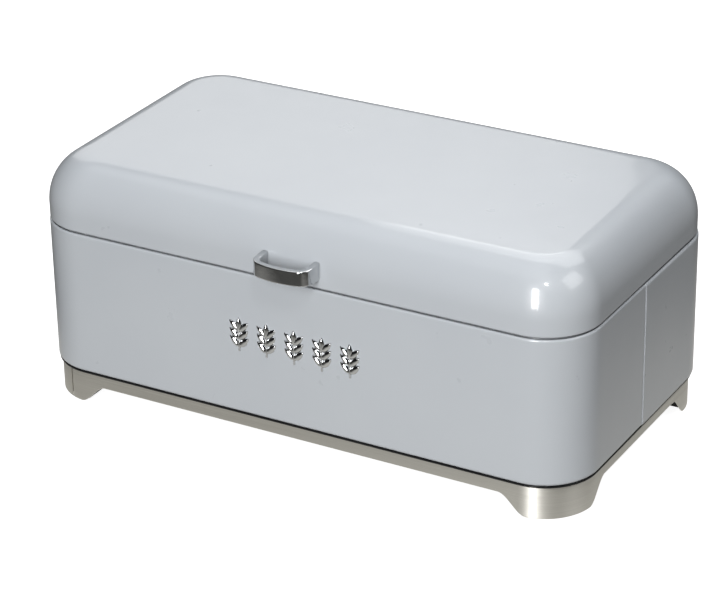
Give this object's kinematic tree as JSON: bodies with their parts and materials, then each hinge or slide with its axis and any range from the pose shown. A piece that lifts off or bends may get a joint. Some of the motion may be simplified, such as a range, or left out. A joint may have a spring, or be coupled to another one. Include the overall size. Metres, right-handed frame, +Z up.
{
  "type": "bread bin",
  "caption": "Rectangular steel bread bin with rounded corners, a domed lid hinged at the back, a bow handle, raised ornaments and an arched metal plinth.",
  "frame": {"origin": "on the floor under the middle of the whole object, handle and hinges included", "axes": "+X to the right seen from the front, -Y towards the front (handle side), +Z up"},
  "size_m": [0.42, 0.251, 0.18],
  "materials": {
    "painted_steel": "gloss powder coat, pale blue-grey",
    "stainless_band": "lengthwise brushed",
    "chrome": "polished",
    "black_plastic": "moulded gloss",
    "plated_steel": "zinc plated",
    "rubber": "matt"
  },
  "bodies": {
    "bin": {"front_shell": "painted_steel", "rear_shell": "painted_steel", "floor_pan": "painted_steel", "base_frame": "black_plastic", "plinth_band": "stainless_band", "base_rivets": "plated_steel", "foot_pad_front_left": "rubber", "foot_pad_front_right": "rubber", "foot_pad_rear_left": "rubber", "foot_pad_rear_right": "rubber", "hinge_body_leaf_left": "plated_steel", "hinge_body_leaf_right": "plated_steel", "hinge_pin_left": "plated_steel", "hinge_pin_right": "plated_steel", "hinge_body_rivets": "plated_steel", "ornament_1": "chrome", "ornament_2": "chrome", "ornament_3": "chrome", "ornament_4": "chrome", "ornament_5": "chrome", "push_nuts": "plated_steel"},
    "lid": {"lid_shell": "painted_steel", "handle": "chrome", "handle_screws": "plated_steel", "handle_washers": "plated_steel", "hinge_lid_leaf_left": "plated_steel", "hinge_lid_leaf_right": "plated_steel", "hinge_lid_rivets": "plated_steel"}
  },
  "joints": [
    {"name": "lid_hinge", "type": "hinge", "parent": "bin", "child": "lid", "pos_m": [0, 0.12249, 0.1333], "axis": [-1, 0, 0], "range_deg": [0, 100]}
  ]
}
